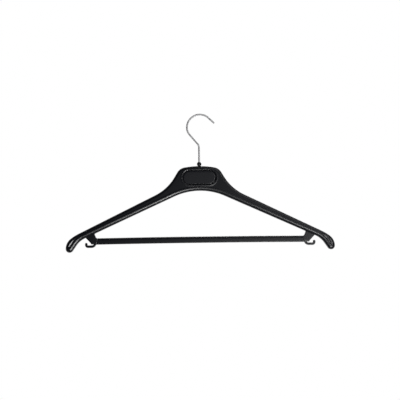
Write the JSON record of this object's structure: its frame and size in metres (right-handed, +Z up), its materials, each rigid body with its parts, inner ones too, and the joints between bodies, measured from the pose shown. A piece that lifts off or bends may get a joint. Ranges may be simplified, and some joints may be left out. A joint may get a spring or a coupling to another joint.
{
  "type": "clothes hanger",
  "caption": "Plastic clothes hanger with contoured shoulders, a trouser bar, skirt hooks, a label plate and a wire hook that swivels.",
  "frame": {"origin": "inner side of the hook, where it rests on a rail, on the axis that the hanger turns about", "axes": "+Z up along the swivel axis, +X to the right along the hanger's width, the front with the label faces -Y"},
  "size_m": [0.45, 0.014, 0.2296],
  "materials": {
    "black_plastic": "semi-gloss injection moulded plastic, black",
    "label_plastic": "satin moulded plastic, black, blank",
    "bush_plastic": "smooth moulded plastic, black",
    "plated_wire": "bright plated steel wire"
  },
  "bodies": {
    "hook": {"hook_wire": "plated_wire"},
    "hanger": {"hanger_body": "black_plastic", "hook_bush": "bush_plastic", "label_plate": "label_plastic"}
  },
  "joints": [
    {"name": "hook_swivel", "type": "hinge", "parent": "hook", "child": "hanger", "pos_m": [0, 0, -0.0844], "axis": [0, 0, 1], "continuous": true}
  ]
}
